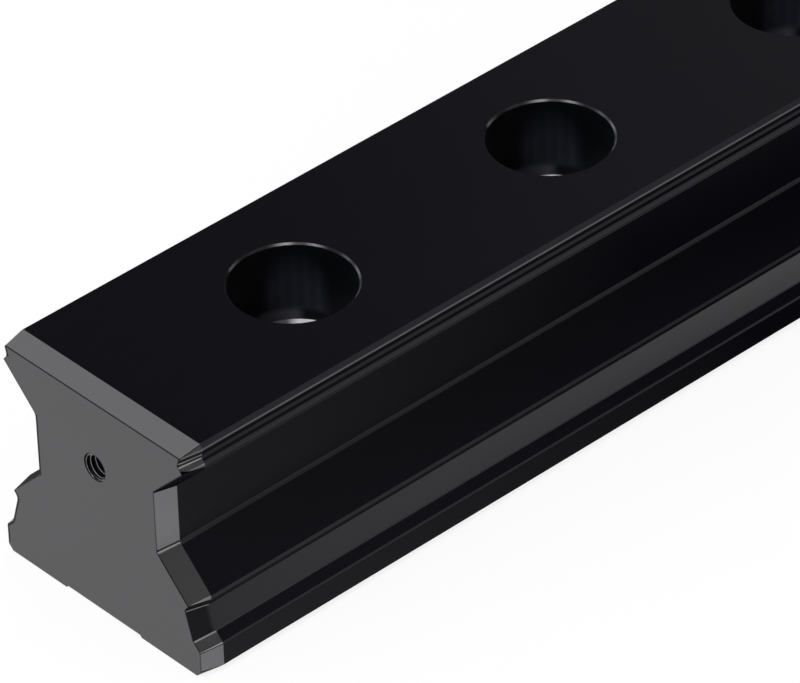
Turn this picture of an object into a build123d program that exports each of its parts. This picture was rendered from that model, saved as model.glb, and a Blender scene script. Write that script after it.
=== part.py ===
from build123d import *
import os
from math import cos, radians, sin, tan

# Roller guide rail: one straight length of ground bar with a waisted section.
# X runs across the rail, Y along it and +Z up. The origin is the middle of the base.

# Bar
rail_width = 34.0
rail_height = 30.3
rail_length = 500.0

# Foot: a flat base, an upright datum face on each side, a shoulder and a leaning flank above it
base_edge_chamfer = 0.7
datum_face_top = 3.75
shoulder_depth = 1.16
shoulder_radius = 0.6
flank_lean_angle = 16.5
flank_fillet_radius = 0.6

# Shallow relief along the middle of the base, so that the rail stands on its two edges
relief_width = 12.8
relief_depth = 0.3
relief_radius = 0.2

# Raceways: two sloping faces on each side, with the neck between them
race_angle = 45.0
neck_width = 21.0
neck_foot_radius = 0.62
neck_head_radius = 0.55

# Narrow upright land at the foot of each lower raceway, undercut beneath
land_width = 30.68
land_top_z = 9.5
land_height = 0.61
undercut_radius = 0.32

# Head: a lip over each upper raceway, and the groove above it that a cover strip snaps into
lip_width = 31.0
lip_height = 0.61
lip_radius = 0.65
groove_height = 2.35
groove_depth = 0.59
groove_lean_angle = 15.6
groove_radius = 0.4
head_edge_chamfer = 0.53
head_edge_radius = 0.23

# Long shallow bevel round both ends, which lets a carriage run on; the base has none
end_bevel_length = 2.9
end_bevel_inset = 0.62
bevelled_edge_radius = 0.08

# Fixing holes along the middle, with a counterbore for the screw's head
hole_pitch = 40.0
hole_end_distance = 30.0
bolt_hole_diameter = 9.0
bolt_hole_chamfer = 0.3
counterbore_diameter = 15.0
counterbore_depth = 10.6
counterbore_chamfer = 0.2

# Hole for a cap screw in each end face, as wide as the thread's pitch diameter
end_hole_diameter = 3.55
end_hole_depth = 9.0
end_hole_height = 20.55
drill_point_angle = 118.0

# How far a cutting tool reaches past the face it starts from
tool_reach = 1.0

# Headings of the section's faces, walked from the base up the right-hand side
rising_angle = 45.0
upright_angle = 90.0
returning_angle = 135.0
level_angle = 180.0


def face_line(x, z, heading, inset=0.0):
    """Straight face of the section through (x, z), set back square to itself by inset."""
    turn = radians(heading)
    return x - inset * sin(turn), z + inset * cos(turn), turn


def meeting_point(first, second):
    """Corner where two faces of the section meet."""
    x1, z1, a1 = first
    x2, z2, a2 = second
    along = ((x2 - x1) * sin(a2) - (z2 - z1) * cos(a2)) / sin(a2 - a1)
    return x1 + along * cos(a1), z1 + along * sin(a1)


def hollow(radius, inset):
    """Radius of an inside corner once its faces are set back by inset."""
    return radius + inset


def proud(radius, inset):
    """Radius of an outside corner once its faces are set back by inset."""
    return max(radius - inset, bevelled_edge_radius)


def half_section(inset):
    """Corners (x, z, radius) of the right half of the section, from the base up to the top face."""
    half_width = rail_width / 2
    half_neck = neck_width / 2
    half_land = land_width / 2
    half_lip = lip_width / 2
    lip_top_z = rail_height - groove_height
    lip_foot_z = lip_top_z - lip_height
    groove_x = half_lip - groove_depth
    groove_z = lip_top_z + groove_depth
    head_edge_z = rail_height - head_edge_chamfer
    head_edge_x = groove_x + (head_edge_z - groove_z) * tan(radians(groove_lean_angle))

    base = face_line(0.0, 0.0, 0.0)
    base_edge = face_line(half_width - inset, base_edge_chamfer, rising_angle)
    datum_face = face_line(half_width, 0.0, upright_angle, inset)
    shoulder = face_line(half_width, datum_face_top, returning_angle, inset)
    flank_foot_z = datum_face_top + shoulder_depth
    flank = face_line(half_width - shoulder_depth, flank_foot_z, upright_angle + flank_lean_angle, inset)
    undercut = face_line(half_land, land_top_z - land_height, rising_angle, inset)
    land = face_line(half_land, land_top_z, upright_angle, inset)
    lower_race = face_line(half_land, land_top_z, level_angle - race_angle, inset)
    neck = face_line(half_neck, land_top_z, upright_angle, inset)
    upper_race = face_line(half_lip, lip_foot_z, race_angle, inset)
    lip = face_line(half_lip, lip_foot_z, upright_angle, inset)
    groove_floor = face_line(half_lip, lip_top_z, returning_angle, inset)
    groove_wall = face_line(groove_x, groove_z, upright_angle - groove_lean_angle, inset)
    head_edge = face_line(head_edge_x, head_edge_z, returning_angle, inset)
    top = face_line(0.0, rail_height, level_angle, inset)

    joins = [
        (base, base_edge, 0.0),
        (base_edge, datum_face, 0.0),
        (datum_face, shoulder, proud(shoulder_radius, inset)),
        (shoulder, flank, hollow(flank_fillet_radius, inset)),
        (flank, undercut, hollow(undercut_radius, inset)),
        (undercut, land, 0.0),
        (land, lower_race, 0.0),
        (lower_race, neck, hollow(neck_foot_radius, inset)),
        (neck, upper_race, hollow(neck_head_radius, inset)),
        (upper_race, lip, 0.0),
        (lip, groove_floor, proud(lip_radius, inset)),
        (groove_floor, groove_wall, hollow(groove_radius, inset)),
        (groove_wall, head_edge, proud(head_edge_radius, inset)),
        (head_edge, top, 0.0),
    ]
    corners = [(*meeting_point(first, second), radius) for first, second, radius in joins]
    relief_foot = relief_width / 2
    relief = [
        (relief_foot - relief_depth, relief_depth, relief_radius),
        (relief_foot, 0.0, 0.0),
    ]
    return relief + corners


def section(inset, y):
    """The whole section as a face at y, with an arc at each corner that has a radius."""
    right = half_section(inset)
    corners = right + [(-x, z, radius) for x, z, radius in reversed(right)]
    edges = []
    starts = []
    ends = []
    arcs = []
    for index, (x, z, radius) in enumerate(corners):
        before = corners[index - 1]
        after = corners[(index + 1) % len(corners)]
        here = Vector(x, y, z)
        back = (Vector(before[0], y, before[1]) - here).normalized()
        onward = (Vector(after[0], y, after[1]) - here).normalized()
        if radius == 0.0:
            starts.append(here)
            ends.append(here)
            arcs.append(None)
            continue
        half_angle = radians(back.get_angle(onward) / 2)
        middle = (back + onward).normalized()
        starts.append(here + back * (radius / tan(half_angle)))
        ends.append(here + onward * (radius / tan(half_angle)))
        arcs.append(here + middle * (radius / sin(half_angle) - radius))
    for index in range(len(corners)):
        if arcs[index] is not None:
            edges.append(ThreePointArc(starts[index], arcs[index], ends[index]))
        edges.append(Line(ends[index], starts[(index + 1) % len(corners)]))
    return make_face(Wire(edges))


def plain_bar():
    """The ground bar with both ends bevelled, before it is drilled."""
    end_y = rail_length / 2
    bevel_y = end_y - end_bevel_length
    full = section(0.0, -bevel_y)
    bar = extrude(full, amount=2 * bevel_y, dir=(0, 1, 0))
    near_end = loft([section(end_bevel_inset, -end_y), full], ruled=True)
    return bar + near_end + mirror(near_end, about=Plane.XZ)


def fixing_hole(y):
    """One screw hole from the top: counterbore, clearance hole and the chamfers at both mouths."""
    bore = bolt_hole_diameter / 2
    wide = counterbore_diameter / 2
    seat_z = rail_height - counterbore_depth
    outline = Polyline(
        (0, -tool_reach),
        (bore + bolt_hole_chamfer, -tool_reach),
        (bore + bolt_hole_chamfer, relief_depth),
        (bore, relief_depth + bolt_hole_chamfer),
        (bore, seat_z),
        (wide, seat_z),
        (wide, rail_height - counterbore_chamfer),
        (wide + counterbore_chamfer, rail_height),
        (wide + counterbore_chamfer, rail_height + tool_reach),
        (0, rail_height + tool_reach),
        close=True,
    )
    profile = Plane.XZ * make_face(outline)
    return Pos(0, y, 0) * revolve(profile, axis=Axis.Z)


def end_hole():
    """Screw hole in the near end face, with the cone that the drill leaves."""
    radius = end_hole_diameter / 2
    point = radius / tan(radians(drill_point_angle / 2))
    outline = Polyline(
        (0, -tool_reach),
        (radius, -tool_reach),
        (radius, end_hole_depth),
        (0, end_hole_depth + point),
        close=True,
    )
    drill = revolve(make_face(outline), axis=Axis.Y)
    return Pos(0, -rail_length / 2, end_hole_height) * drill


def guide_rail():
    """The finished rail."""
    rail = plain_bar()
    hole_count = int((rail_length - 2 * hole_end_distance) / hole_pitch) + 1
    for index in range(hole_count):
        rail -= fixing_hole(-rail_length / 2 + hole_end_distance + index * hole_pitch)
    near = end_hole()
    rail -= near
    rail -= mirror(near, about=Plane.XZ)
    return rail


os.makedirs("parts", exist_ok=True)
export_step(guide_rail(), "parts/guide_rail.step")
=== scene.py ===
from math import cos, pi, radians, sin

import bpy
from bpy.props import FloatProperty, FloatVectorProperty, IntProperty, PointerProperty
from mathutils import Euler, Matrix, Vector


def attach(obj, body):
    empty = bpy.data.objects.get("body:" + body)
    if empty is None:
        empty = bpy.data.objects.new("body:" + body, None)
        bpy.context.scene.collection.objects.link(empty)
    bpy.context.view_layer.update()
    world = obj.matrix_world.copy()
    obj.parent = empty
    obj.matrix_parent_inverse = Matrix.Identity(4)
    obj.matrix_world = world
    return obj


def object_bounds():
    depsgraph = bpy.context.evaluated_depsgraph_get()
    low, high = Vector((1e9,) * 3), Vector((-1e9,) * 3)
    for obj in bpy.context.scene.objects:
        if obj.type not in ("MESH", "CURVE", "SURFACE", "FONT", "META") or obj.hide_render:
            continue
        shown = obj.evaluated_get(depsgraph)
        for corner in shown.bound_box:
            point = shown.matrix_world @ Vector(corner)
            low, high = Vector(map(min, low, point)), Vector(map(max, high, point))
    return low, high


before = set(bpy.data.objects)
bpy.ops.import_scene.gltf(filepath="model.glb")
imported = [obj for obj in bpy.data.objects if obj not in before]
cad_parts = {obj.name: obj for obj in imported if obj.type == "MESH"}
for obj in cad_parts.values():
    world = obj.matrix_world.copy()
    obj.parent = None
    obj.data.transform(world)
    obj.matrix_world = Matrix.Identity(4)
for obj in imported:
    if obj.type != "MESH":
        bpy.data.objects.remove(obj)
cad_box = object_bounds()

bl_info = {
    "name": "Roller guide rail",
    "version": (1, 0, 0),
    "blender": (4, 5, 0),
    "location": "3D View > Sidebar > Guide rail",
    "description": "Finishes a roller guide rail, cuts its end threads and sets the studio",
    "category": "Object",
}

RAIL = "guide_rail"
MILLIMETRE = 0.001

# Widths, in millimetres, over which a mask fades: at the edge of a face or a hole, and of a fine line
STEP_BLUR = 0.02
LINE_BLUR = 0.04

# How far, in millimetres, a mask reaches square to its face: for a face, and for a line beyond its own width
FACE_REACH = 0.09
LINE_REACH = 0.15

# How far, in millimetres, the mask of a seat, a bore or a thread's crest goes past it
MARGIN = 0.03

# Corners of the section, from the foot up: distance from the rail's middle and height above its base, in
# millimetres, and how far above level the faces below and above the corner look, in degrees
CORNERS = {
    "base edge": (17.0, 0.7, -45.0, 0.0),
    "shoulder": (17.0, 3.75, 0.0, 45.0),
    "flank foot": (15.84, 4.91, 45.0, 16.5),
    "undercut": (14.816, 8.366, 16.5, -45.0),
    "land foot": (15.34, 8.89, -45.0, 0.0),
    "land": (15.34, 9.5, 0.0, 45.0),
    "neck foot": (10.5, 14.34, 45.0, 0.0),
    "neck head": (10.5, 22.34, 0.0, -45.0),
    "lip foot": (15.5, 27.34, -45.0, 0.0),
    "lip": (15.5, 27.95, 0.0, 45.0),
    "groove": (14.91, 28.54, 45.0, -15.6),
    "head edge": (15.253, 29.77, -15.6, 45.0),
    "head": (14.723, 30.3, 45.0, 90.0),
}

# Lines along the corners: the corner, where the line starts and ends past it on the way up the section, in
# millimetres, and how strong it is. First painted highlights on the coated corners and narrow faces, then on
# the
# bare end bevels: painted highlights, fainter painted highlights, and painted shade lines.
# Painted highlights on the coated corners and narrow faces
CORNER_HIGHLIGHT_LINES = (
    ("shoulder", -0.14, 0.14, 1.0),
    ("land", -0.49, 0.0, 0.85),
    ("lip foot", 0.0, 0.12, 1.0),
    ("lip", -0.29, 0.29, 1.0),
    ("groove", -0.14, 0.34, 1.0),
)
# Painted highlights low on the end bevels
HIGHLIGHT_LINES = (
    ("shoulder", 0.0, 0.1, 1.0),
    ("flank foot", -0.2, 0.0, 1.0),
)
# Fainter painted highlights higher up on the end bevels
SOFT_HIGHLIGHT_LINES = (
    ("undercut", -0.34, -0.24, 0.45),
    ("land", -0.07, 0.02, 1.0),
    ("neck foot", -0.2, 0.03, 1.2),
    ("lip", 0.0, 0.09, 1.0),
    ("groove", -0.12, 0.03, 1.0),
    ("head edge", -0.78, -0.64, 1.0),
    ("head", -0.07, 0.03, 1.0),
)
# Painted shade lines on the end bevels
SHADE_LINES = (
    ("base edge", -0.15, 0.0, 1.0),
    ("shoulder", -0.12, 0.0, 1.0),
    ("flank foot", 0.0, 0.14, 1.0),
    ("undercut", -0.22, 0.1, 1.0),
    ("land foot", -0.1, 0.12, 1.0),
    ("neck foot", 0.06, 0.3, 0.85),
    ("neck head", -0.12, 0.3, 1.0),
    ("lip foot", 0.0, 0.25, 1.0),
    ("head edge", -0.62, -0.15, 1.0),
    ("head edge", -1.1, -0.78, 0.8),
    ("head", -0.17, -0.1, 0.7),
)

# Single lines along a corner, as where they start and end past it, in millimetres: the painted highlight at
# the flank's foot, the flank's top, kept dark as painted shade, the painted highlight on the fillet at the
# neck's foot and its darker middle, and the painted highlight on the head's edge
FLANK_FOOT_LINE = ("flank foot", -0.1, 0.1)
FLANK_TOP_LINE = ("undercut", -0.28, 0.3)
NECK_FILLET_LINE = ("neck foot", -0.3, 0.27)
NECK_FILLET_MIDDLE = ("neck foot", -0.07, 0.05)
EDGE_HIGHLIGHT_LINE = ("head edge", -0.14, 0.1)

# Where the end face starts, in millimetres past the rail's end, and how far that fades
END_FACE_EDGE = (-0.005, 0.008)

# The painted shade line round an end face, in millimetres: its width, and its width inside the datum face,
# then
# where it is darker: between two heights, from the shoulder to the lower raceway, and above a third, round
# the head
ARRIS_WIDTH = 0.1
OUTLINE_WIDTH = 0.08
DARK_ARRIS = (4.2, 13.5)
HEAD_ARRIS = 29.0

# The flank, in millimetres: how far from the rail's end its painted shade still fades into its lighter tone,
# and where past the bevel's edge its coat is painted darker as shade and how far that fades
FLANK_SHADE_REACH = 100.0
FLANK_BEVEL_EDGE = 0.2
FLANK_BEVEL_FADE = 0.6

# Painted shade outline on the left of an end face: the corners below and above each side, how wide the
# outline is there, in millimetres, and how strong
LEFT_OUTLINE = (
    ("neck head", "lip foot", 0.2, 0.3),
    ("base edge", "shoulder", 0.3, 1.0),
    ("shoulder", "flank foot", 0.3, 1.0),
    ("flank foot", "undercut", 0.3, 1.0),
    ("undercut", "land foot", 0.3, 1.0),
    ("land foot", "land", 0.3, 1.0),
    ("neck foot", "neck head", 0.3, 1.0),
    ("lip foot", "lip", 0.3, 1.0),
    ("groove", "head edge", 0.3, 1.0),
)

# How long the marks are along X, Y and Z, in millimetres: of the wheel that ran along the rail, of the one
# that cut the end faces, of the slow drift of the coat's tone, and in the thread
LONG_MARKS = (0.22, 14.0, 0.22)
END_MARKS = (9.0, 1.0, 0.18)
COAT_DRIFT = (22.0, 60.0, 22.0)
THREAD_MARKS = (0.3, 0.08, 0.3)
DRIFT_TONES = ((0.82, 0.82, 0.86, 1.0), (1.18, 1.18, 1.14, 1.0))

# Arcs round a fixing hole, as where they start and end and how far they fade, in radians from the direction
# across the light: where the rim's chamfer is bare and painted as lit, with painted shade elsewhere, where a
# painted highlight makes it brightest, where painted shade dulls it, and where it mirrors the lamp and is
# painted dimmer
LIT_RIM_ARC = (radians(-21.0), radians(158.0), radians(7.0))
RIM_HIGHLIGHT_ARC = (radians(93.0), radians(110.0), radians(9.0))
RIM_SHADE_ARC = (radians(115.0), radians(138.0), radians(12.0))
LAMP_ARC = (radians(38.0), radians(86.0), radians(12.0))

# The painted ripples of light and shade on the chamfer: where one of them is brightest, and how many go round
RIPPLE_TURN = radians(69.0)
RIPPLE_COUNT = 360.0 / 27.7

# The painted sheen of a screw seat: the middle of one of its two bright sectors, and how softly they end
SHEEN_TURN = radians(48.0)
SHEEN_FADE = 0.36

# Direction across the light in the holes, as shares of X and Y
ACROSS_LIGHT = (0.669, 0.743)

# Light on the far wall of a fixing hole, in millimetres: an arch, as its two sides and their fade, how far
# below the rail's top it ends in the middle, how fast it falls to the sides, the fade there, and where it
# starts above the seat
ARCH_SIDES = (-3.2, 3.6, 1.3)
ARCH_DROP = 3.0
ARCH_BOW = 0.16
ARCH_TOP_FADE = 4.5
ARCH_FOOT = 1.4

# The arch's faint upright columns: where one of them is brightest, and how close they are, in radians for
# each millimetre
COLUMN_PLACE = -2.7
COLUMN_RATE = 4.6

# The patch of light at the wall's foot: its two sides and their fade, how far it goes up, and the fade there
PATCH_SIDES = (-4.3, 0.6, 1.2)
PATCH_TOP = 1.5
FOOT_FADE = 0.8

# The thread, in millimetres above the end hole's axis or past the rail's end, each with its fade: where a
# painted glint lies on a crest, where the cut first turn starts, and where that turn is painted darker as
# shade
CREST_GLINT = (0.35, 1.2, 0.2)
FIRST_TURN_EDGE = (-0.3, 0.2)
UPPER_MOUTH = (-0.5, 1.2)

UPRIGHT = (0.0, radians(90), 0.0)
LEVEL = (0.0, 0.0, 0.0)

# Cards that only polished surfaces show: name, place, size, turn, tone at the near and the far end of the
# fade, and where along the rail the fade starts and ends
CARDS = (
    ("right_card_near", (0.46, -0.35, 0.57), (0.9, 0.7), UPRIGHT, (0.12, 0.12), (-0.7, 0.0)),
    ("right_card_far", (0.46, 0.83, 0.57), (0.9, 1.4), UPRIGHT, (1.0, 0.04), (0.14, 0.29)),
    ("left_card", (-0.55, 0.83, 0.6), (0.8, 1.5), UPRIGHT, (0.2, 0.6), (0.22, 0.42)),
    ("floor_card_inner", (0.0276, 0.12, 0.0002), (0.0208, 0.76), LEVEL, (0.95, 0.08), (-0.25, -0.16)),
    ("floor_card_outer", (0.0796, 0.12, 0.0002), (0.0832, 0.76), LEVEL, (0.6, 1.2), (-0.24, -0.11)),
)


def colour_property(name, description, default):
    """A colour that the sidebar can change."""
    return FloatVectorProperty(
        name=name, description=description, default=default, subtype="COLOR", size=3, min=0.0, max=1.0
    )


def grey_property(name, description, level):
    """A colour without any hue that the sidebar can change."""
    return colour_property(name, description, (level, level, level))


def length_property(name, description, millimetres):
    """A length that the sidebar can change, given here in millimetres."""
    return FloatProperty(
        name=name, description=description, default=millimetres * MILLIMETRE, min=0.0,
        unit="LENGTH", precision=5,
    )


def share_property(name, description, default):
    """A value from 0 to 1 that the sidebar can change."""
    return FloatProperty(
        name=name, description=description, default=default, min=0.0, max=1.0, subtype="FACTOR"
    )


class RailFinish(bpy.types.PropertyGroup):
    """Colours and roughness of the rail's surfaces, and the places where one finish ends."""

    coat_colour: colour_property("Coat", "Thin black coat on the ground faces", (0.0009, 0.0009, 0.003))
    flank_colour: colour_property("Flank", "Satin face of the foot, far from the ends", (0.09, 0.086, 0.091))
    # Painted shade: the flank darker beside the end bevels, fading to its own tone towards the middle
    flank_end_shade_colour: colour_property(
        "Flank at the ends", "The same face beside the end bevels", (0.033, 0.032, 0.035)
    )
    # Painted highlight: the coated corners and narrow faces made lighter where light catches them
    corner_highlight_colour: colour_property(
        "Corners", "Thin coat on the rounded corners and narrow faces", (0.019, 0.019, 0.023)
    )
    # Painted highlight along the head's edge
    edge_highlight_colour: colour_property("Head edge", "Line where the coat wears off", (0.08, 0.08, 0.085))
    hole_colour: colour_property("Hole wall", "Coated wall of the fixing holes", (0.0005, 0.0008, 0.002))
    glow_colour: colour_property("Hole glow", "The same wall where light falls on it", (0.0125, 0.0135, 0.02))
    foot_glow_colour: colour_property("Hole foot", "The same wall, lit by the seat", (0.04, 0.041, 0.05))
    end_colour: colour_property("End face", "Bare steel of the cut end face", (0.088, 0.088, 0.092))
    bevel_colour: colour_property("End bevel", "Ground steel of the run-on bevels", (0.158, 0.158, 0.163))
    # Painted light and shade: lighter and darker copies of the bevel steel for the neck, the top, the lip and
    # the chamfer, by how the light falls on each
    neck_bevel_colour: colour_property("Neck bevel", "The same steel on the neck", (0.2, 0.2, 0.206))
    top_bevel_colour: colour_property("Top bevel", "The same steel on the top", (0.144, 0.144, 0.149))
    lip_bevel_colour: colour_property("Lip bevel", "The same steel on the lip", (0.11, 0.11, 0.114))
    head_bevel_colour: colour_property("Head bevel", "The same steel on the chamfer", (0.17, 0.17, 0.175))
    # Painted light and shade: lit and shaded copies of the seat's steel, laid out by the painted sheen
    seat_colour: colour_property("Screw seat", "Milled steel at the foot of a counterbore", (0.8, 0.8, 0.82))
    seat_shade_colour: colour_property("Seat shade", "The same steel out of the light", (0.12, 0.12, 0.125))
    rim_colour: colour_property("Hole rim", "Bare steel of the chamfer at a counterbore", (0.45, 0.45, 0.46))
    # Painted shade: the flank's end bevel kept dark
    flank_bevel_shade_colour: colour_property(
        "Flank bevel", "End bevel of the flank, left as coated", (0.0055, 0.0055, 0.007)
    )
    # Painted shade: the lower raceway's end bevel on the left kept dark
    left_race_shade_colour: colour_property(
        "Left race bevel", "End bevel of the lower raceway on the left, left as coated", (0.006, 0.006, 0.007)
    )
    # Painted highlights on the end bevels: bright low down and fainter higher up
    highlight_colour: colour_property("Bright lines", "Polished lines low on the end bevels", (0.6, 0.6, 0.62))
    soft_highlight_colour: colour_property("Soft lines", "Fainter polished lines higher up", (0.33, 0.33, 0.34))
    # Painted shade: the colour of all the dark lines, and of the rim's chamfer where it is shaded
    painted_shade_colour: colour_property("Dark lines", "Lines that the grinding wheel missed", (0.004, 0.004, 0.005))
    coat_roughness: share_property("Coat roughness", "Roughness of the coated ground faces", 0.22)
    drawn_roughness: share_property("Drawn roughness", "Roughness of the faces that aren't ground", 0.42)
    steel_roughness: share_property("Steel roughness", "Roughness of the bare steel", 0.34)
    bevel_length: length_property("Bevel length", "Length of the bare bevel at each end", 2.9)
    bevel_inset: length_property("Bevel depth", "How far the bevel goes in at the end face", 0.62)
    hole_pitch: length_property("Hole pitch", "Distance between fixing holes", 40.0)
    hole_end_distance: length_property("First hole", "Distance from the end to the first fixing hole", 30.0)
    counterbore_diameter: length_property("Counterbore", "Diameter of the counterbores", 15.0)
    counterbore_depth: length_property("Counterbore depth", "Depth of the counterbores", 10.6)
    rim_width: length_property("Rim chamfer", "Width of the chamfer at a counterbore's rim", 0.2)


class EndThread(bpy.types.PropertyGroup):
    """Sizes of the screw thread in each end hole, and its colours."""

    hole_height: length_property("Height", "Height of the end hole's axis above the base", 20.55)
    hole_depth: length_property("Depth", "How deep the dark finish of the bore reaches", 12.0)
    hole_diameter: length_property("Bore", "Diameter of the bore that the thread stands in", 3.55)
    crest_diameter: length_property("Crest diameter", "Diameter over the thread's crests", 3.0)
    pitch: length_property("Pitch", "Distance between two turns", 0.7)
    root_width: length_property("Root width", "Width of the ridge at the hole's wall", 0.6)
    root_depth: length_property("Root depth", "How far the ridge reaches into the hole's wall", 0.03)
    crest_width: length_property("Crest width", "Width of the flat on the ridge's crest", 0.09)
    lead_in: length_property("Lead in", "Distance from the end face to the first whole turn's middle", 0.42)
    mouth_depth: length_property("Mouth depth", "How far behind the end face the first turn is cut off", 0.12)
    merge_distance: length_property("Merge distance", "Points closer than this are one", 0.001)
    turns: IntProperty(name="Turns", description="Number of turns, with the cut one", default=12, min=2)
    steps: IntProperty(name="Steps", description="Number of steps in a turn", default=40, min=8)
    crest_colour: colour_property("Crest", "Bare steel of the thread's crest", (0.32, 0.32, 0.33))
    # Painted glint on the crests
    glint_colour: grey_property("Crest glint", "Crest where the tap left it polished", 1.0)
    # Painted shade: a darker copy of the crest steel for the upper part of the cut first turn
    mouth_colour: colour_property("Mouth", "Steel of the first, cut turn", (0.12, 0.12, 0.124))
    # Partly oil and oxide, partly painted shade deep in the end hole
    groove_colour: colour_property("Groove", "Dark oil and oxide in the groove", (0.003, 0.003, 0.004))


class Studio(bpy.types.PropertyGroup):
    """The floor, the light and the camera."""

    floor_colour: grey_property("Floor", "Colour of the pale floor", 0.9)
    floor_size: FloatProperty(
        name="Floor size", description="Side of the square floor", default=12.0, unit="LENGTH"
    )
    floor_gap: length_property("Floor gap", "How far the floor lies below the rail's base", 0.05)
    floor_white: share_property("Floor white", "Share of plain white in the floor that is seen", 0.85)
    daylight: FloatProperty(
        name="Daylight", description="Level of the soft light from all round", default=0.72, min=0.0
    )
    key_power: FloatProperty(
        name="Key lamp", description="Power of the large lamp", default=5.0, unit="POWER"
    )
    key_size: FloatProperty(
        name="Key lamp size", description="Side of the square lamp", default=0.25, unit="LENGTH"
    )
    key_place: FloatVectorProperty(
        name="Key lamp place", description="Where the lamp hangs", default=(0.05, -0.75, 0.75),
        subtype="TRANSLATION", unit="LENGTH",
    )
    key_aim: FloatVectorProperty(
        name="Key lamp aim", description="The part of the rail that the lamp points at",
        default=(0.0, -0.18, 0.02), subtype="TRANSLATION", unit="LENGTH",
    )
    camera_place: FloatVectorProperty(
        name="Camera place", description="Where the camera stands", default=(0.468153, -0.625552, 0.483618),
        subtype="TRANSLATION", unit="LENGTH",
    )
    camera_turn: FloatVectorProperty(
        name="Camera turn", description="How the camera is turned",
        default=(radians(53.2631), radians(1.4088), radians(46.9561)), subtype="EULER",
    )
    focal_length: FloatProperty(
        name="Focal length", description="Lens, in millimetres", default=308.84, min=1.0
    )


class Value:
    """A node's output that is added, multiplied and raised as a number is. Each sum adds a Math node."""

    def __init__(self, nodes, output):
        self.nodes = nodes
        self.output = output

    def take(self, name):
        """Another output of the same node."""
        return Value(self.nodes, self.output.node.outputs[name])

    def maths(self, operation, first, second=0.0, clamp=False):
        """The result of one Math node."""
        settings = {"operation": operation, "use_clamp": clamp}
        return self.nodes.add("ShaderNodeMath", settings, {0: first, 1: second})

    def __add__(self, other):
        return self.maths("ADD", self, other)

    def __radd__(self, other):
        return self.maths("ADD", other, self)

    def __sub__(self, other):
        return self.maths("SUBTRACT", self, other)

    def __rsub__(self, other):
        return self.maths("SUBTRACT", other, self)

    def __mul__(self, other):
        return self.maths("MULTIPLY", self, other)

    def __rmul__(self, other):
        return self.maths("MULTIPLY", other, self)

    def __truediv__(self, other):
        return self.maths("DIVIDE", self, other)

    def __mod__(self, other):
        return self.maths("FLOORED_MODULO", self, other)

    def __pow__(self, other):
        return self.maths("POWER", self, other)

    def __neg__(self):
        return self.maths("SUBTRACT", 0.0, self)

    def __abs__(self):
        return self.maths("ABSOLUTE", self)

    def cosine(self):
        """The cosine of an angle in radians."""
        return self.maths("COSINE", self)

    def clamped(self):
        """The value, held between 0 and 1."""
        return self.maths("ADD", self, 0.0, clamp=True)


class Nodes:
    """The nodes of one material or world."""

    def __init__(self, tree):
        self.tree = tree
        tree.nodes.clear()

    def add(self, kind, settings=None, sockets=None, take=0):
        """Adds a node, changes its settings, fills its sockets with values or links and returns an output."""
        node = self.tree.nodes.new(kind)
        for name, setting in (settings or {}).items():
            setattr(node, name, setting)
        for name, value in (sockets or {}).items():
            socket = self.find(node.inputs, name)
            if isinstance(value, Value):
                self.tree.links.new(value.output, socket)
            else:
                socket.default_value = value
        if not node.outputs:
            return node
        return Value(self, self.find(node.outputs, take))

    @staticmethod
    def find(sockets, name):
        """A socket by its identifier, its label or its number."""
        for socket in sockets:
            if socket.identifier == name:
                return socket
        return sockets[name]

    def multiply_add(self, value, factor, offset, clamp=False):
        """value * factor + offset, in one node."""
        settings = {"operation": "MULTIPLY_ADD", "use_clamp": clamp}
        return self.add("ShaderNodeMath", settings, {0: value, 1: factor, 2: offset})

    def blend(self, mask, below, above, blend_type="MIX"):
        """One colour where mask is 0 and the other, or the two combined, where it is 1."""
        settings = {"data_type": "RGBA", "blend_type": blend_type}
        colours = {"Factor_Float": mask, "A_Color": below, "B_Color": above}
        return self.add("ShaderNodeMix", settings, colours, "Result_Color")

    def lay(self, layers, colour):
        """Lays colours over one another: each layer is the mask where it shows, and its colour."""
        for mask, above in layers:
            colour = self.blend(mask, colour, above)
        return colour


def over(value, edge, blur=STEP_BLUR):
    """1 where value is past edge and 0 before it."""
    return value.nodes.multiply_add(value, 1 / blur, 0.5 - edge / blur, clamp=True)


def under(value, edge, blur=STEP_BLUR):
    """1 where value is before edge and 0 past it."""
    return value.nodes.multiply_add(value, -1 / blur, 0.5 + edge / blur, clamp=True)


def between(value, low, high, blur=STEP_BLUR):
    """1 where value lies between low and high."""
    return over(value, low, blur) * under(value, high, blur)


def distance(across, up):
    """How far a point of a plane is from the plane's origin."""
    return (across * across + up * up) ** 0.5


def solid(colour):
    """A colour property with full alpha, as a colour socket takes it."""
    return (*colour, 1.0)


def in_millimetres(length):
    return length / MILLIMETRE


def new_material(name, nodes_for):
    """A material whose nodes are made by nodes_for, which returns the finished surface."""
    material = bpy.data.materials.new(name)
    material.use_nodes = True
    nodes = Nodes(material.node_tree)
    nodes.add("ShaderNodeOutputMaterial", None, {"Surface": nodes_for(nodes)})
    return material


def place_in_millimetres(nodes):
    """The point of the surface in the rail's own frame, in millimetres, whole and as across, along and up."""
    place = nodes.add("ShaderNodeTexCoord", take="Object")
    scale = {"Vector": place, "Scale": 1 / MILLIMETRE}
    scaled = nodes.add("ShaderNodeVectorMath", {"operation": "SCALE"}, scale)
    across = nodes.add("ShaderNodeSeparateXYZ", None, {"Vector": scaled}, "X")
    return scaled, across, across.take("Y"), across.take("Z")


def grain(nodes, place, stretch, detail=3.0):
    """Fine marks, from 0 to 1. Stretch gives how long they are along each axis."""
    mapped = nodes.add("ShaderNodeMapping", {"vector_type": "TEXTURE"}, {"Vector": place, "Scale": stretch})
    noise = {"Vector": mapped, "Scale": 1.0, "Detail": detail, "Roughness": 0.6}
    return nodes.add("ShaderNodeTexNoise", None, noise)


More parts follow.
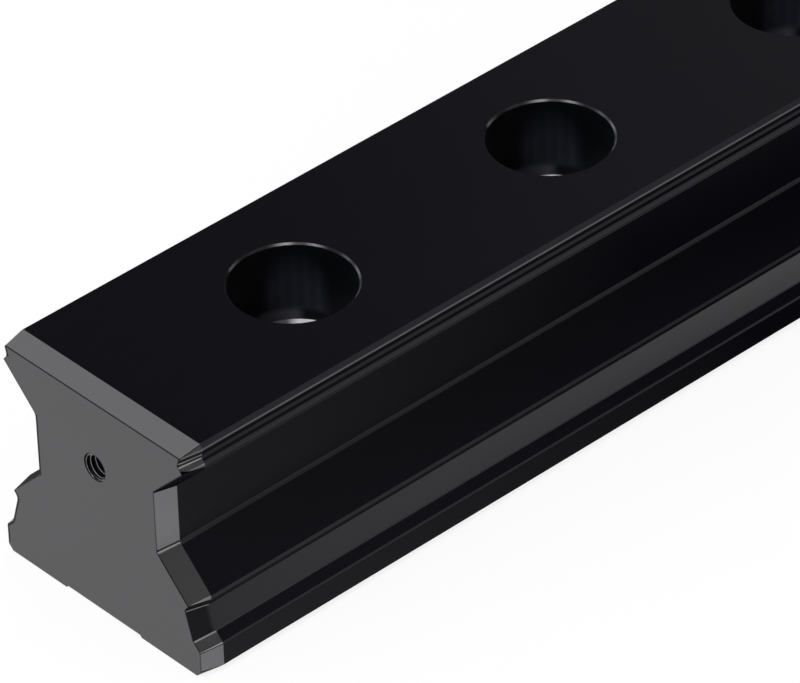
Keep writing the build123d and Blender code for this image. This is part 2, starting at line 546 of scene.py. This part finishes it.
class Section:
    """The section of the rail at a point of its surface. The end bevels set its corners back by inset."""

    def __init__(self, nodes, across, height, inset):
        self.nodes = nodes
        self.point = nodes.add("ShaderNodeCombineXYZ", None, {"X": across, "Y": height, "Z": inset})

    def past(self, name, direction):
        """How far the point is past a corner, in a direction given in degrees above level."""
        x, z, below, above = CORNERS[name]
        angle = radians(direction)
        set_back = cos(radians(below + above) / 2 - angle) / cos(radians(above - below) / 2)
        axis = (cos(angle), sin(angle), set_back)
        product = {"operation": "DOT_PRODUCT"}
        reach = self.nodes.add("ShaderNodeVectorMath", product, {0: self.point, 1: axis}, "Value")
        return reach - (x * cos(angle) + z * sin(angle))

    def line(self, name, low, high):
        """1 on a line along a corner, between low and high past it on the way up the section."""
        middle = (CORNERS[name][2] + CORNERS[name][3]) / 2
        beside = abs(self.past(name, middle))
        on_line = between(self.past(name, middle + 90.0), low, high, LINE_BLUR)
        return on_line * under(beside, max(-low, high) + LINE_REACH)

    def face(self, lower, upper, reach=FACE_REACH):
        """1 on the face between two corners that follow each other, and as far inside it as reach."""
        looks = CORNERS[upper][2]
        started = over(self.past(lower, looks + 90.0), 0.0)
        ended = under(self.past(upper, looks + 90.0), 0.0)
        return started * ended * under(abs(self.past(lower, looks)), reach)

    def lines(self, rows, start=0.0):
        """The sum of the lines in a list, added to start."""
        total = start
        for name, low, high, strength in rows:
            total = self.nodes.multiply_add(self.line(name, low, high), strength, total)
        return total

    def outline(self, rows):
        """The sum of the faces in a list, each as wide and as strong as the list says."""
        total = 0.0
        for lower, upper, width, strength in rows:
            total = self.nodes.multiply_add(self.face(lower, upper, width), strength, total)
        return total


class FixingHoles:
    """Masks for the nearest fixing hole, all in millimetres, and for how the light falls in it."""

    def __init__(self, nodes, finish, x, along, height):
        length = in_millimetres(cad_box[1][1] - cad_box[0][1])
        top = in_millimetres(cad_box[1][2])
        pitch = in_millimetres(finish.hole_pitch)
        first = in_millimetres(finish.hole_end_distance)
        radius = in_millimetres(finish.counterbore_diameter) / 2
        rim = in_millimetres(finish.rim_width)
        seat = top - in_millimetres(finish.counterbore_depth)

        # How far the point is from the hole's axis, across the light and with it
        from_hole = (along + (length / 2 - first + pitch / 2)) % pitch - pitch / 2
        from_axis = distance(x, from_hole)
        self.across = ACROSS_LIGHT[0] * x + ACROSS_LIGHT[1] * from_hole
        self.away = ACROSS_LIGHT[0] * from_hole - ACROSS_LIGHT[1] * x
        self.turn = nodes.add("ShaderNodeMath", {"operation": "ARCTAN2"}, {0: self.away, 1: self.across})

        self.wall = under(from_axis, radius + STEP_BLUR / 2) * under(height, top - rim)
        self.chamfers = under(from_axis, radius + rim + STEP_BLUR) * over(height, top - rim - STEP_BLUR / 2)
        # The chamfer is bare steel only over an arc; elsewhere it keeps the dark coat as painted shade
        self.rims = self.chamfers * between(self.turn, *LIT_RIM_ARC)
        self.seats = under(from_axis, radius - STEP_BLUR) * between(height, seat - MARGIN, seat + MARGIN)
        # Painted sheen: two bright sectors and two shaded ones round each seat
        self.sheen = over(((self.turn - SHEEN_TURN) * 2.0).cosine(), 0.0, SHEEN_FADE)
        self.glow = self.wall * self.lit_arch(height, top, seat)
        self.foot_glow = self.wall * self.lit_foot(height, seat)
        self.rim_tone = self.rim_light_tone()

    def lit_arch(self, height, top, seat):
        """The light on the far wall: an arch of faint upright columns above the foot."""
        columns = ((self.across - COLUMN_PLACE) * COLUMN_RATE).cosine()
        arch = between(self.across, *ARCH_SIDES)
        arch = arch * under(height + ARCH_BOW * self.across * self.across, top - ARCH_DROP, ARCH_TOP_FADE)
        arch = arch * over(height, seat + ARCH_FOOT, FOOT_FADE) * over(self.away, 0.0)
        return arch * (0.88 + 0.12 * columns)

    def lit_foot(self, height, seat):
        """The patch on the left of the far wall's foot, where the seat throws light back."""
        patch = between(self.across, *PATCH_SIDES) * under(height, seat + PATCH_TOP, FOOT_FADE)
        return patch * over(self.away, 0.0)

    def rim_light_tone(self):
        """Painted light on the rim's chamfer: painted ripples of light and shade, dim where it mirrors the
        lamp, a painted highlight beyond.
        """
        ripple = ((self.turn - RIPPLE_TURN) * RIPPLE_COUNT).cosine()
        # Painted light: darker where the lamp is mirrored, a painted highlight further round, and painted
        # shade on the dull arc
        level = 0.3 - 0.25 * between(self.turn, *LAMP_ARC) + 0.7 * between(self.turn, *RIM_HIGHLIGHT_ARC)
        return level * (0.64 + 0.36 * ripple) * (1 - 0.75 * between(self.turn, *RIM_SHADE_ARC))


def rail_surface(nodes):
    """The whole rail: black coat on the long faces, bare steel at the ends and in the screw seats."""
    finish = bpy.context.scene.rail_finish
    thread = bpy.context.scene.end_thread
    place, x, along, height = place_in_millimetres(nodes)
    holes = FixingHoles(nodes, finish, x, along, height)
    half_width = in_millimetres(cad_box[1][0])
    top = in_millimetres(cad_box[1][2])
    bevel = in_millimetres(finish.bevel_length)
    depth = in_millimetres(finish.bevel_inset)

    # Ends: the cut face, the bevels round it, the painted shade line between them and the threaded hole
    beyond = abs(along) - in_millimetres(cad_box[1][1])
    end_face = over(beyond, *END_FACE_EDGE)
    bevels = over(beyond, -bevel) * (1 - end_face)
    # Painted shade along the edge between the bevels and the end face, darker low down and round the head,
    # and along the end face's top edge
    arris_strength = 0.55 + 0.35 * between(height, *DARK_ARRIS) + 0.4 * over(height, HEAD_ARRIS)
    arris = between(beyond, -ARRIS_WIDTH, 0.0) * arris_strength
    top_line = over(height, top - depth - ARRIS_WIDTH) * end_face
    # The end hole's bore takes the groove colour: oil and oxide, and painted shade deep in the hole
    from_end_hole = distance(x, height - in_millimetres(thread.hole_height))
    end_bore = under(from_end_hole, in_millimetres(thread.hole_diameter) / 2 + MARGIN)
    end_bore = end_bore * over(beyond, -in_millimetres(thread.hole_depth))
    # The side on which painted shade darkens the end face's outline and the lower raceway's bevel
    left = over(x * along, 0.0)
    inset = depth * (beyond / bevel + 1.0).clamped()
    section = Section(nodes, abs(x), height, inset)

    # Faces of the section
    whole_flank = section.face("flank foot", "undercut")
    flank_foot = section.line(*FLANK_FOOT_LINE)
    flank = whole_flank * (1 - section.line(*FLANK_TOP_LINE)) * (1 - flank_foot)
    lower_race = section.face("land", "neck foot")
    under_lip = section.face("neck head", "lip foot")
    groove_wall = section.face("groove", "head edge")
    head_chamfer = section.face("head edge", "head")
    neck = section.face("neck foot", "neck head")
    lip_face = section.face("lip foot", "lip")
    top_bevel = over(height + inset, top - 0.05)

    # Painted highlight and shade lines along its corners
    neck_fillet = section.line(*NECK_FILLET_LINE) * (1 - 0.35 * section.line(*NECK_FILLET_MIDDLE))
    # Painted highlight on the corners, the narrow faces and the head's chamfer
    corner_highlight = section.lines(CORNER_HIGHLIGHT_LINES, flank_foot + neck_fillet + 0.8 * head_chamfer).clamped()
    # Painted highlight on the head's edge, and faintly on the flank's foot
    head_edge = (section.line(*EDGE_HIGHLIGHT_LINE) + 0.12 * flank_foot).clamped()
    # Painted highlight lines on the end bevels
    bright = section.lines(HIGHLIGHT_LINES).clamped()
    soft = section.lines(SOFT_HIGHLIGHT_LINES).clamped()
    # Painted shade lines, and painted shade on the undercut below the land
    dark = section.lines(SHADE_LINES, section.face("undercut", "land foot")).clamped()
    # Painted shade round the edge of the end face, along each face of the section
    datum_face = over(abs(x), half_width - depth - OUTLINE_WIDTH)
    outline = whole_flank + under_lip + groove_wall + neck + lip_face + lower_race + datum_face
    outline = 0.7 * outline + section.outline(LEFT_OUTLINE) * left
    # Painted shade: the dark lines and arris on the bevels, and the top line and outline of the end face
    black = ((dark + arris) * (1 - end_face) + (top_line + outline) * end_face).clamped()

    # Where the steel is bare: not on the bevels of the flank, of the left lower raceway and under the lip,
    # which are painted dark as shade
    left_race = lower_race * bevels * left
    unlit = under_lip * bevels + left_race
    # Painted shade: bevels kept dark instead of bare steel
    shaded_bevels = (flank * (1 - soft) * bevels + unlit).clamped()
    bare = ((bevels + end_face) * (1 - shaded_bevels) + holes.seats + holes.rims).clamped()
    on_bevel = over(beyond, FLANK_BEVEL_EDGE - bevel, FLANK_BEVEL_FADE)

    # Painted shade: the flank darker towards each end
    from_end = (-beyond / FLANK_SHADE_REACH).clamped()
    flank_tone = nodes.blend(from_end, solid(finish.flank_end_shade_colour), solid(finish.flank_colour))
    coat = nodes.lay((
        (flank, flank_tone),
        (flank * on_bevel, solid(finish.flank_bevel_shade_colour)),
        (corner_highlight * (1 - under_lip * bevels), solid(finish.corner_highlight_colour)),
        (head_edge, solid(finish.edge_highlight_colour)),
        (left_race, solid(finish.left_race_shade_colour)),
        (holes.wall, solid(finish.hole_colour)),
        (holes.glow, solid(finish.glow_colour)),
        (holes.foot_glow, solid(finish.foot_glow_colour)),
    ), solid(finish.coat_colour))
    drift = nodes.blend(grain(nodes, place, COAT_DRIFT, 1.0), *DRIFT_TONES)
    coat = nodes.blend(1.0, coat, drift, "MULTIPLY")

    # Painted sheen on the seats
    seat_tone = nodes.blend(holes.sheen, solid(finish.seat_shade_colour), solid(finish.seat_colour))
    # Painted light and shade on the rim's chamfer
    rim_tone = nodes.blend(holes.rim_tone, solid(finish.painted_shade_colour), solid(finish.rim_colour))
    # Painted light and shade on the bare steel: a copy of it for each face of the bevels
    steel = nodes.lay((
        (neck, solid(finish.neck_bevel_colour)),
        (top_bevel, solid(finish.top_bevel_colour)),
        (lip_face, solid(finish.lip_bevel_colour)),
        (head_chamfer, solid(finish.head_bevel_colour)),
        (soft, solid(finish.soft_highlight_colour)),
        (bright, solid(finish.highlight_colour)),
        (end_face, solid(finish.end_colour)),
        (black, solid(finish.painted_shade_colour)),
        (holes.seats, seat_tone),
        (holes.rims, rim_tone),
    ), solid(finish.bevel_colour))
    colour = nodes.lay(((bare, steel), (end_bore, solid(thread.groove_colour))), coat)

    # Roughness, metal and relief
    long_marks = grain(nodes, place, LONG_MARKS)
    end_marks = grain(nodes, place, END_MARKS)
    strip_groove = groove_wall * (1 - bevels)
    unground = (flank + corner_highlight + groove_wall).clamped()
    smooth = finish.coat_roughness + (finish.drawn_roughness - finish.coat_roughness) * unground
    ground = finish.steel_roughness + 0.12 * (end_marks - 0.5) * end_face
    rough = smooth + (ground - smooth) * bare + 0.1 * (long_marks - 0.5)
    rough = rough + 0.2 * holes.seats + 0.4 * (holes.wall + holes.chamfers - holes.rims)
    rough = rough + 0.3 * strip_groove + 0.7 * unlit
    metal = bare * (1 - 0.6 * holes.seats) + flank * (1 - on_bevel) + unlit
    metal = metal + 0.4 * strip_groove * (1 - corner_highlight) * (1 - head_edge)
    marks = long_marks + (end_marks - long_marks) * end_face
    relief = nodes.add("ShaderNodeBump", None, {
        "Strength": 0.05, "Distance": 0.05 * MILLIMETRE, "Height": marks,
    })
    return nodes.add("ShaderNodeBsdfPrincipled", None, {
        "Base Color": colour,
        "Metallic": (metal * (1 - end_bore)).clamped(),
        "Roughness": rough,
        "Specular IOR Level": 0.08,
        "Normal": relief,
    })


def thread_surface(nodes):
    """The thread: bright crests, and grooves that stay dark behind the mouth."""
    thread = bpy.context.scene.end_thread
    place, x, along, height = place_in_millimetres(nodes)
    above_axis = height - in_millimetres(thread.hole_height)
    on_crest = under(distance(x, above_axis), in_millimetres(thread.crest_diameter) / 2 + MARGIN)
    # Painted glint on the crests, in a band above the axis
    glint = between(above_axis, *CREST_GLINT)
    mouth = over(abs(along) - in_millimetres(cad_box[1][1]), *FIRST_TURN_EDGE)
    # Painted shade on the upper part of the first turn
    upper_mouth = over(above_axis, *UPPER_MOUTH)
    crest = nodes.blend(glint, solid(thread.crest_colour), solid(thread.glint_colour))
    first_turn = nodes.blend(upper_mouth, solid(thread.crest_colour), solid(thread.mouth_colour))
    return nodes.add("ShaderNodeBsdfPrincipled", None, {
        "Base Color": nodes.lay(((on_crest, crest), (mouth, first_turn)), solid(thread.groove_colour)),
        "Metallic": (on_crest + mouth).clamped(),
        "Roughness": 0.3 + 0.15 * grain(nodes, place, THREAD_MARKS),
        "Specular IOR Level": 0.04,
    })


def deselect_all():
    bpy.ops.object.select_all(action="DESELECT")


def select_points(mesh, chosen):
    """Selects, in edit mode, the points that chosen picks."""
    bpy.ops.mesh.select_all(action="DESELECT")
    bpy.ops.object.mode_set(mode="OBJECT")
    for point in mesh.vertices:
        point.select = chosen(point.co)
    bpy.ops.object.mode_set(mode="EDIT")


class RAIL_OT_finish_steel(bpy.types.Operator):
    """Gives the rail its coated and its bare ground surfaces"""

    bl_idname = "rail.finish_steel"
    bl_label = "Finish the rail"
    bl_options = {"REGISTER", "UNDO"}

    def execute(self, context):
        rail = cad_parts[RAIL]
        rail.material_slots[0].material = new_material("coated and ground steel", rail_surface)
        return {"FINISHED"}


class RAIL_OT_cut_end_threads(bpy.types.Operator):
    """Models the screw thread in both end holes"""

    bl_idname = "rail.cut_end_threads"
    bl_label = "Cut the end threads"
    bl_options = {"REGISTER", "UNDO"}

    def execute(self, context):
        thread = context.scene.end_thread
        near = self.wind_ridge(thread)
        near_end = cad_box[0][1]
        bpy.ops.object.mode_set(mode="EDIT")
        bpy.ops.mesh.select_all(action="SELECT")
        bpy.ops.transform.translate(value=(0.0, near_end + thread.lead_in - thread.pitch, thread.hole_height))
        bpy.ops.mesh.bisect(
            plane_co=(0.0, near_end + thread.mouth_depth, 0.0), plane_no=(0.0, 1.0, 0.0),
            use_fill=True, clear_inner=True, threshold=thread.merge_distance,
        )
        bpy.ops.object.mode_set(mode="OBJECT")
        near.data.materials.append(new_material("cut thread", thread_surface))

        deselect_all()
        near.select_set(True)
        bpy.ops.object.duplicate()
        far = context.active_object
        far.name = "end_thread_far"
        bpy.ops.object.mode_set(mode="EDIT")
        bpy.ops.mesh.select_all(action="SELECT")
        bpy.ops.transform.rotate(value=pi, orient_axis="Z", center_override=(0.0, 0.0, 0.0))
        bpy.ops.object.mode_set(mode="OBJECT")

        for piece in (near, far):
            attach(piece, "root")
        return {"FINISHED"}

    def wind_ridge(self, thread):
        """The ridge between two grooves, wound round the Y axis as one closed mesh."""
        deselect_all()
        crest = thread.crest_diameter / 2
        root = thread.hole_diameter / 2 + thread.root_depth
        bpy.ops.mesh.primitive_plane_add(size=1.0, location=((crest + root) / 2, 0.0, 0.0))
        ridge = bpy.context.active_object
        ridge.name = "end_thread_near"
        ridge.data.name = "end_thread"
        bpy.ops.object.mode_set(mode="EDIT")
        bpy.ops.transform.resize(value=(root - crest, thread.root_width, 1.0))
        bpy.ops.mesh.delete(type="ONLY_FACE")
        select_points(ridge.data, lambda point: point.x < 0)
        bpy.ops.transform.resize(value=(1.0, thread.crest_width / thread.root_width, 1.0))
        bpy.ops.object.mode_set(mode="OBJECT")
        bpy.ops.object.transform_apply(location=True, rotation=False, scale=False)

        bpy.ops.object.modifier_add(type="SCREW")
        screw = ridge.modifiers[-1]
        screw.axis = "Y"
        screw.angle = 2 * pi
        screw.screw_offset = thread.pitch
        screw.iterations = thread.turns
        screw.steps = thread.steps
        screw.render_steps = thread.steps
        bpy.ops.object.modifier_apply(modifier=screw.name)

        bpy.ops.object.mode_set(mode="EDIT")
        bpy.ops.mesh.select_all(action="SELECT")
        bpy.ops.mesh.remove_doubles(threshold=thread.merge_distance)
        bpy.ops.mesh.fill_holes(sides=4)
        bpy.ops.mesh.normals_make_consistent(inside=False)
        bpy.ops.object.mode_set(mode="OBJECT")
        bpy.ops.object.shade_smooth_by_angle(angle=radians(30))
        return ridge


class RAIL_OT_set_studio(bpy.types.Operator):
    """Lays the pale floor, sets the lamp and the cards round the rail and places the camera"""

    bl_idname = "rail.set_studio"
    bl_label = "Set the studio"
    bl_options = {"REGISTER", "UNDO"}

    def execute(self, context):
        studio = context.scene.studio
        context.scene.view_settings.view_transform = "Standard"
        self.lay_floor(studio)
        self.light_world(context.scene, studio)
        for card in CARDS:
            self.add_card(*card)
        self.add_key_lamp(studio)
        self.place_camera(context.scene, studio)
        return {"FINISHED"}

    @staticmethod
    def seen_directly(nodes):
        """1 for what is seen, straight, in polished metal or through glass, and 0 for the light on things."""
        ray = nodes.add("ShaderNodeLightPath", take="Is Camera Ray")
        return (ray + ray.take("Is Glossy Ray") + ray.take("Is Transmission Ray")).clamped()

    def lay_floor(self, studio):
        """A pale sheet just below the rail, which keeps the rail's shadow."""
        deselect_all()
        bpy.ops.mesh.primitive_plane_add(size=studio.floor_size, location=(0.0, 0.0, -studio.floor_gap))
        floor = bpy.context.active_object
        floor.name = "studio_floor"

        def paper(nodes):
            seen = self.seen_directly(nodes)
            lit = nodes.add("ShaderNodeBsdfPrincipled", None, {
                "Base Color": solid(studio.floor_colour), "Roughness": 0.9, "Specular IOR Level": 0.0,
            })
            white = nodes.add("ShaderNodeEmission", None, {"Color": (1.0, 1.0, 1.0, 1.0), "Strength": 1.0})
            return nodes.add("ShaderNodeMixShader", None, {0: studio.floor_white * seen, 1: lit, 2: white})

        floor.data.materials.append(new_material("studio paper", paper))

    def light_world(self, scene, studio):
        """Soft light from all round, and plain white for what is seen of it."""
        world = bpy.data.worlds.new("soft daylight")
        world.use_nodes = True
        nodes = Nodes(world.node_tree)
        seen = self.seen_directly(nodes)
        strength = studio.daylight + (1.0 - studio.daylight) * seen
        sky = nodes.add("ShaderNodeBackground", None, {"Color": (1.0, 1.0, 1.0, 1.0), "Strength": strength})
        nodes.add("ShaderNodeOutputWorld", None, {"Surface": sky})
        scene.world = world

    def add_card(self, name, place, size, turn, tones, fade):
        """A flat card whose tone runs from the first to the second along the rail."""
        deselect_all()
        bpy.ops.mesh.primitive_plane_add(size=1.0, location=place, rotation=turn)
        card = bpy.context.active_object
        card.name = name
        card.scale = (size[0], size[1], 1.0)
        card.visible_camera = False
        card.visible_diffuse = False
        card.visible_shadow = False

        def cloth(nodes):
            local = nodes.add("ShaderNodeTexCoord", take="Object")
            along = nodes.add("ShaderNodeSeparateXYZ", None, {"Vector": local}, "Y") * size[1] + place[1]
            faded = ((along - fade[0]) / (fade[1] - fade[0])).clamped()
            tone = tones[0] + (tones[1] - tones[0]) * faded
            return nodes.add("ShaderNodeEmission", None, {"Color": (1.0, 1.0, 1.0, 1.0), "Strength": tone})

        card.data.materials.append(new_material(name, cloth))

    def add_key_lamp(self, studio):
        """A soft square lamp that points at the middle of the part of the rail that the camera sees."""
        deselect_all()
        bpy.ops.object.light_add(type="AREA", location=studio.key_place)
        lamp = bpy.context.active_object
        lamp.name = "key_lamp"
        lamp.data.energy = studio.key_power
        lamp.data.size = studio.key_size
        towards = Vector(studio.key_aim) - Vector(studio.key_place)
        lamp.rotation_euler = towards.to_track_quat("-Z", "Y").to_euler()

    def place_camera(self, scene, studio):
        """The camera, where the photo was taken from."""
        deselect_all()
        bpy.ops.object.camera_add(location=studio.camera_place, rotation=Euler(studio.camera_turn))
        camera = bpy.context.active_object
        camera.name = "product_camera"
        camera.data.sensor_width = 36.0
        camera.data.lens = studio.focal_length
        scene.camera = camera


class RAIL_PT_sidebar(bpy.types.Panel):
    """Lists the steps and the sizes and colours that they use"""

    bl_idname = "RAIL_PT_sidebar"
    bl_label = "Roller guide rail"
    bl_space_type = "VIEW_3D"
    bl_region_type = "UI"
    bl_category = "Guide rail"

    def draw(self, context):
        for operator, settings in STEPS:
            box = self.layout.box()
            box.operator(operator)
            group = getattr(context.scene, settings)
            for name in group.__annotations__:
                box.prop(group, name)


STEPS = (
    ("rail.finish_steel", "rail_finish"),
    ("rail.cut_end_threads", "end_thread"),
    ("rail.set_studio", "studio"),
)
GROUPS = (("rail_finish", RailFinish), ("end_thread", EndThread), ("studio", Studio))
CLASSES = (
    RailFinish,
    EndThread,
    Studio,
    RAIL_OT_finish_steel,
    RAIL_OT_cut_end_threads,
    RAIL_OT_set_studio,
    RAIL_PT_sidebar,
)


def register():
    for item in CLASSES:
        bpy.utils.register_class(item)
    for name, group in GROUPS:
        setattr(bpy.types.Scene, name, PointerProperty(type=group))


def unregister():
    for name, group in GROUPS:
        delattr(bpy.types.Scene, name)
    for item in reversed(CLASSES):
        bpy.utils.unregister_class(item)


def main():
    register()
    bpy.ops.rail.finish_steel()
    bpy.ops.rail.cut_end_threads()
    bpy.ops.rail.set_studio()


if __name__ == "__main__":
    main()
